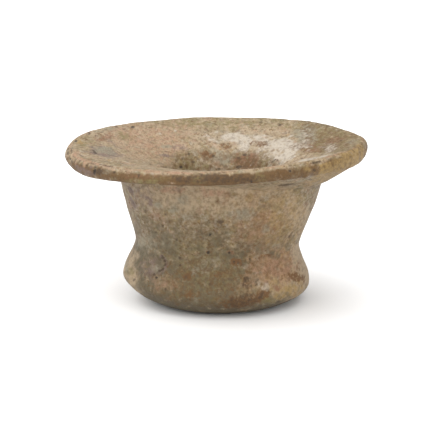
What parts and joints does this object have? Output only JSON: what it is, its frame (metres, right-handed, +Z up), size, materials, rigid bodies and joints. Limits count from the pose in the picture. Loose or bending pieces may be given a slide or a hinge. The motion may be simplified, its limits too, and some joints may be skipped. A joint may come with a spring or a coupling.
{
  "type": "ancient glass patera",
  "caption": "Small ancient glass bowl with a swelling base, narrow waist, broad dished rim, narrow mouth and deep well, its skin an opaque stained crust.",
  "frame": {"origin": "middle of the vessel's extents, on the plane that it rests on", "axes": "+Z up through the mouth, +X to the right and +Y away from the side seen in the picture"},
  "size_m": [0.0934, 0.0962, 0.0512],
  "materials": {
    "weathered_glass": "opaque weathered crust, matt to dull, stained pink-brown, olive and rust with pale flaked patches"
  },
  "bodies": {
    "root": {"patera": "weathered_glass"}
  },
  "joints": []
}
